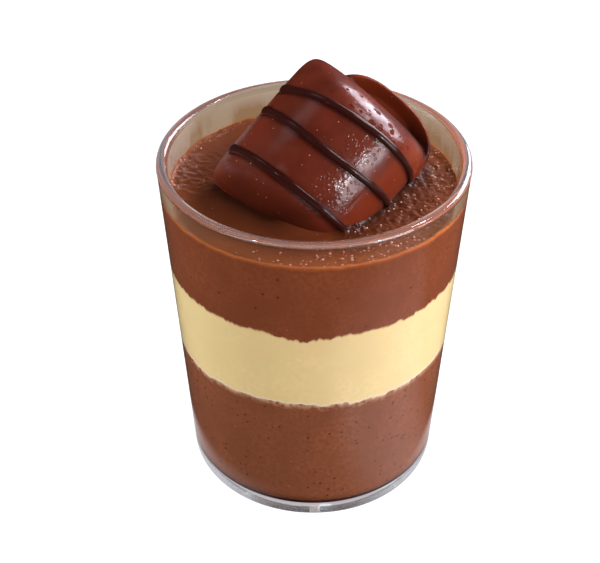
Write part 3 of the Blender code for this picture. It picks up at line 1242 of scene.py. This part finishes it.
# Lines from the far end to the near end: place along the bar, slant and bow,
# as fractions of half the bar's length
DRIZZLES = ((0.41, 0.11, 0.05), (0.04, 0.06, -0.09), (-0.57, 0.04, -0.02))
DRIZZLE_START = -0.968
DRIZZLE_END = 0.992


def dome_normal(bar, s, t):
    """Direction straight out of the dome at a place in its footprint."""
    step = 0.2 * MM
    slope_s = (crown_height(bar, s + step, t) - crown_height(bar, s - step, t)) / (2 * step)
    slope_t = (crown_height(bar, s, t + step) - crown_height(bar, s, t - step)) / (2 * step)
    return Vector((-slope_s, -slope_t, 1.0)).normalized()


def drizzle_path(bar, line, lowest, count=90):
    """(place, normal) pairs along one line over the dome, down to a height."""
    place, slant, bow = line
    placed = bar_frame(bar)
    turned = placed.to_3x3()
    path = []
    for index in range(count + 1):
        sweep = math.sin(math.pi / 2 * (2 * index / count - 1))
        side = blend(DRIZZLE_START, DRIZZLE_END, (sweep + 1) / 2)
        along = place + slant * side + bow * (1 - side * side)
        s = along * bar.length / 2
        t = side * dome_width(bar, abs(along))
        spot = placed @ Vector((s, t, crown_height(bar, s, t)))
        if spot.z > lowest:
            path.append((spot, turned @ dome_normal(bar, s, t)))
    return path


def ridge_rings(path, width, height, seed, sides=20):
    """Rings of a rounded ridge that hugs its path, fuller at its ends."""
    rings = []
    last = len(path) - 1
    run = [0.0]
    for (spot, _), (after, _) in zip(path, path[1:]):
        run.append(run[-1] + (after - spot).length)
    for index, (spot, normal) in enumerate(path):
        ahead = path[min(last, index + 1)][0] - path[max(0, index - 1)][0]
        side = ahead.cross(normal).normalized()
        place = run[index] / MM
        left = run[index] / (1.1 * MM)
        right = (run[-1] - run[index]) / (0.8 * MM)
        close = math.sqrt(max(0.0, 1.0 - (1.0 - min(1.0, left, right)) ** 2))
        start_swell = 0.55 * math.exp(-((run[index] - 1.3 * MM) / (1.7 * MM)) ** 2)
        uneven = 1.0 + 0.12 * noise.noise(Vector((place * 0.35, seed, 0.0))) + start_swell
        half = width / 2 * uneven * max(0.06, close)
        top = height * uneven * max(0.06, close)
        ring = []
        for step in range(sides):
            angle = math.tau * step / sides
            up = math.sin(angle)
            lift = top * up if up > 0 else 0.35 * height * up
            ring.append(spot + side * half * math.cos(angle) + normal * lift)
        rings.append(ring)
    rings.insert(0, [path[0][0]])
    rings.append([path[-1][0]])
    return rings


class MOUSSE_OT_drizzle(bpy.types.Operator):
    """Makes the three dark drizzle lines over the bar"""

    bl_idname = "mousse.drizzle"
    bl_label = "Drizzle"

    def execute(self, context):
        settings = context.scene.mousse_drizzle
        bar = context.scene.mousse_bar
        lowest = context.scene.mousse_filling.level
        material = drizzle_material(settings)
        for number, line in enumerate(DRIZZLES, 1):
            path = drizzle_path(bar, line, lowest)
            rings = ridge_rings(path, settings.width, settings.height, number * 3.1)
            mesh = ring_mesh(f"drizzle_line_{number}", rings)
            add_piece(mesh.name, mesh, [material], f"drizzle_{number}")
        return {"FINISHED"}


# ---------------------------------------------------------------- stage


def floor_material(stage):
    """A pale floor with faint shadows. Gloss meets it dark; glass meets a glowing table instead,
    painted light of a bright room behind and on the right, with painted glints beside the foot.
    """
    made = new_material("pale_floor", tuple(stage.floor_colour), 0.9)
    nodes = Nodes(made)
    path = nodes.add("ShaderNodeLightPath")
    spot = nodes.add("ShaderNodeSeparateXYZ", (("Vector", nodes.place),)).outputs
    aside = nodes.math("ABSOLUTE", spot["X"], 0.0)
    radius = nodes.add("ShaderNodeVectorMath", ((0, nodes.place),), operation="LENGTH")
    radius = radius.outputs["Value"]
    near_side = nodes.math(
        "MULTIPLY", nodes.ramp(aside, 0.004, 0.018), nodes.ramp(radius, 0.0305, 0.0265)
    )
    right = nodes.math(
        "MULTIPLY", nodes.ramp(spot["Y"], -0.090, -0.036), nodes.ramp(spot["Y"], 0.004, -0.022)
    )
    right = nodes.math("MULTIPLY", right, nodes.ramp(spot["X"], 0.006, 0.022))
    right = nodes.math("MULTIPLY", right, nodes.ramp(spot["X"], 0.100, 0.040, 0.3, 1.0))
    right = nodes.math("MULTIPLY", right, stage.mirrored_right)
    back = nodes.ramp(spot["Y"], 0.085, 0.130, 0.0, stage.mirrored_back)
    level = nodes.math("MAXIMUM", nodes.math("MAXIMUM", right, back), 0.03)
    level = nodes.math("MAXIMUM", level, nodes.math("MULTIPLY", near_side, 0.6))
    level = nodes.math("MULTIPLY", level, path.outputs["Is Singular Ray"])
    mirrored = nodes.add("ShaderNodeEmission", (("Strength", level),))
    nodes.feed(mirrored.inputs["Color"], (*FLOOR_MIRRORED, 1.0))
    bounced = nodes.add("ShaderNodeBsdfDiffuse")
    nodes.feed(bounced.inputs["Color"], (*stage.refracted_colour, 1.0))
    refracted = nodes.add("ShaderNodeEmission")
    distant = nodes.ramp(radius, 0.125, 0.20)
    seen = nodes.mix(distant, tuple(stage.refracted_colour), FLOOR_FAR_OFF)
    foot_side = nodes.math(
        "MULTIPLY", nodes.ramp(radius, 0.075, 0.055), nodes.ramp(spot["Y"], 0.0, -0.015)
    )
    seen = nodes.mix(foot_side, seen, FLOOR_BESIDE_FOOT)
    seen = nodes.mix(near_side, seen, FLOOR_UNDER_FOOT)
    shiny = nodes.math("MAXIMUM", near_side, foot_side)
    # Painted glints: white spots that the glass would gather beside its foot.
    glints = nodes.math("MULTIPLY", shiny, nodes.ramp(nodes.speckle(110.0, 2.0), 0.54, 0.60))
    nodes.feed(refracted.inputs["Color"], nodes.mix(glints, seen, (1.0, 1.0, 1.0)))
    glow = nodes.add("ShaderNodeEmission", (("Strength", stage.floor_glow),))
    pale = nodes.add("ShaderNodeAddShader", ((0, nodes.shader.outputs[0]), (1, glow.outputs[0])))
    shown = mirrored
    rays = (("Is Diffuse Ray", bounced), ("Is Transmission Ray", refracted))
    for ray, surface in rays + (("Is Camera Ray", pale),):
        links = ((0, path.outputs[ray]), (1, shown.outputs[0]), (2, surface.outputs[0]))
        shown = nodes.add("ShaderNodeMixShader", links)
    nodes.feed(nodes.tree.nodes["Material Output"].inputs["Surface"], shown.outputs[0])
    return made


def add_floor(material):
    """A wide pale floor under the glass."""
    mesh = bpy.data.meshes.new("floor")
    reach = 1.5
    corners = ((-1, -1), (1, -1), (1, 1), (-1, 1))
    points = [(reach * x, reach * y, 0.0) for x, y in corners]
    mesh.from_pydata(points, [], [(0, 1, 2, 3)])
    mesh.materials.append(material)
    floor = bpy.data.objects.new("floor", mesh)
    bpy.context.scene.collection.objects.link(floor)


def studio_world(stage):
    """Dim light from all round; the glass mirrors and bends a brighter, paler room."""
    world = bpy.data.worlds.new("studio")
    world.use_nodes = True
    tree = world.node_tree
    sky = tree.nodes["Background"]
    sky.inputs["Color"].default_value = (0.96, 0.95, 1.0, 1.0)
    path = tree.nodes.new("ShaderNodeLightPath")
    way = tree.nodes.new("ShaderNodeTexCoord")
    upward = tree.nodes.new("ShaderNodeSeparateXYZ")
    tree.links.new(way.outputs["Generated"], upward.inputs["Vector"])

    def between(source, low, high, to_low, to_high):
        node = tree.nodes.new("ShaderNodeMapRange")
        tree.links.new(source, node.inputs["Value"])
        values = (("From Min", low), ("From Max", high), ("To Min", to_low), ("To Max", to_high))
        for name, value in values:
            if isinstance(value, bpy.types.NodeSocket):
                tree.links.new(value, node.inputs[name])
            else:
                node.inputs[name].default_value = value
        return node.outputs["Result"]

    mirrored = between(upward.outputs["Z"], 0.0, 0.3, 0.8, stage.sky_in_glass)
    direct = between(path.outputs["Glossy Depth"], 0.0, 1.0, stage.sky_through_glass, stage.sky)
    level = between(path.outputs["Is Glossy Ray"], 0.0, 1.0, stage.sky, stage.sky_in_gloss)
    level = between(path.outputs["Is Singular Ray"], 0.0, 1.0, level, mirrored)
    level = between(path.outputs["Is Transmission Ray"], 0.0, 1.0, level, direct)
    tree.links.new(level, sky.inputs["Strength"])
    return world


# Each lamp's name, direction, width and height in metres at half a metre, its share of the
# key light's power, its colour, and whether gloss and glass mirror it
LAMPS = (
    ("key", (0.69, 0.60, 0.38), (0.38, 0.26), 1.20, (0.91, 0.89, 1.0), True),
    ("upper", (0.64, 0.12, 0.76), (0.09, 0.09), 0.18, (0.96, 0.95, 1.0), True),
    ("side", (0.72, -0.60, 0.36), (0.40, 0.36), 0.14, (1.0, 1.0, 1.0), False),
    ("sheen", (0.78, -0.60, 0.16), (0.26, 0.34), 0.60, (0.95, 0.93, 1.0), True),
    ("glint", (0.62, -0.68, 0.34), (0.035, 0.035), 0.08, (1.0, 1.0, 1.0), True),
    ("edge", (0.96, -0.22, 0.22), (0.10, 0.16), 0.06, (0.92, 0.90, 1.0), True),
    ("left", (-0.86, 0.10, 0.48), (0.40, 0.40), 0.26, (0.96, 0.95, 1.0), False),
    ("crown", (-0.47, 0.13, 0.87), (0.20, 0.20), 0.065, (0.90, 0.88, 1.0), True),
    ("front", (-0.57, -0.63, 0.53), (0.03, 0.03), 0.03, (1.0, 1.0, 1.0), True),
    ("left fill", (-0.99, 0.0, 0.10), (0.40, 0.30), 0.70, (1.0, 1.0, 1.0), False),
)


def add_lamp(name, direction, size, power, colour, glossy):
    """A soft lamp in a direction from the middle of the object, facing it."""
    lamp = bpy.data.lights.new(name, "AREA")
    lamp.shape = "RECTANGLE"
    lamp.size, lamp.size_y = size
    lamp.energy = power
    lamp.color = colour
    holder = bpy.data.objects.new(name, lamp)
    way = Vector(direction).normalized()
    holder.location = Vector((0.0, 0.0, 0.05)) + way * 0.5
    holder.rotation_mode = "QUATERNION"
    holder.rotation_quaternion = way.to_track_quat("Z", "Y")
    holder.visible_glossy = glossy
    bpy.context.scene.collection.objects.link(holder)


class MOUSSE_OT_stage(bpy.types.Operator):
    """Sets the pale floor, the soft lights and the camera"""

    bl_idname = "mousse.stage"
    bl_label = "Stage"

    def execute(self, context):
        stage = context.scene.mousse_stage
        add_floor(floor_material(stage))
        for name, direction, size, share, colour, glossy in LAMPS:
            add_lamp(name, direction, size, stage.key * share, colour, glossy)
        context.scene.world = studio_world(stage)
        context.scene.view_settings.view_transform = "Standard"
        self.add_camera(context, stage)
        return {"FINISHED"}

    @staticmethod
    def add_camera(context, stage):
        """The camera, level from side to side and looking down at the glass."""
        camera = bpy.data.cameras.new("camera")
        camera.lens = stage.lens
        camera.sensor_width = 36.0
        camera.clip_start = 0.01
        holder = bpy.data.objects.new("camera", camera)
        target = Vector((-2.5 * MM, 0.0, 38.48 * MM))
        back = Vector((0.0, -math.cos(stage.elevation), math.sin(stage.elevation)))
        holder.location = target + back * stage.distance
        holder.rotation_euler = (math.pi / 2 - stage.elevation, 0.0, 0.0)
        context.scene.collection.objects.link(holder)
        context.scene.camera = holder


# ---------------------------------------------------------------- panel


class MOUSSE_PT_panel(bpy.types.Panel):
    """Lists the steps and their settings in the sidebar"""

    bl_idname = "MOUSSE_PT_panel"
    bl_label = "Layered mousse"
    bl_space_type = "VIEW_3D"
    bl_region_type = "UI"
    bl_category = "Mousse"

    def draw(self, context):
        for title, group, steps in SECTIONS:
            box = self.layout.box()
            box.label(text=title)
            for step in steps:
                box.operator(step.bl_idname)
            settings = getattr(context.scene, group)
            for name in settings.__annotations__:
                box.prop(settings, name)


FILLING_STEPS = (MOUSSE_OT_bottom_layer, MOUSSE_OT_cream, MOUSSE_OT_top_layer)
SECTIONS = (
    ("Glass", "mousse_glass", (MOUSSE_OT_glass,)),
    ("Filling", "mousse_filling", FILLING_STEPS),
    ("Bar", "mousse_bar", (MOUSSE_OT_bar,)),
    ("Drizzle", "mousse_drizzle", (MOUSSE_OT_drizzle,)),
    ("Stage", "mousse_stage", (MOUSSE_OT_stage,)),
)
GROUPS = {
    "mousse_glass": GlassSettings,
    "mousse_filling": FillingSettings,
    "mousse_bar": BarSettings,
    "mousse_drizzle": DrizzleSettings,
    "mousse_stage": StageSettings,
}
OPERATORS = (
    MOUSSE_OT_glass,
    MOUSSE_OT_bar,
    MOUSSE_OT_drizzle,
    MOUSSE_OT_bottom_layer,
    MOUSSE_OT_cream,
    MOUSSE_OT_top_layer,
    MOUSSE_OT_stage,
)


def register():
    """Registers the settings, operators and panel."""
    for group in GROUPS.values():
        bpy.utils.register_class(group)
    for name, group in GROUPS.items():
        setattr(bpy.types.Scene, name, PointerProperty(type=group))
    for operator in OPERATORS:
        bpy.utils.register_class(operator)
    bpy.utils.register_class(MOUSSE_PT_panel)


def unregister():
    """Takes them out again."""
    bpy.utils.unregister_class(MOUSSE_PT_panel)
    for operator in reversed(OPERATORS):
        bpy.utils.unregister_class(operator)
    for name in GROUPS:
        delattr(bpy.types.Scene, name)
    for group in reversed(GROUPS.values()):
        bpy.utils.unregister_class(group)


def main():
    """Makes every piece and the stage."""
    register()
    bpy.ops.mousse.glass()
    bpy.ops.mousse.bar()
    bpy.ops.mousse.drizzle()
    bpy.ops.mousse.bottom_layer()
    bpy.ops.mousse.cream()
    bpy.ops.mousse.top_layer()
    bpy.ops.mousse.stage()


if __name__ == "__main__":
    main()
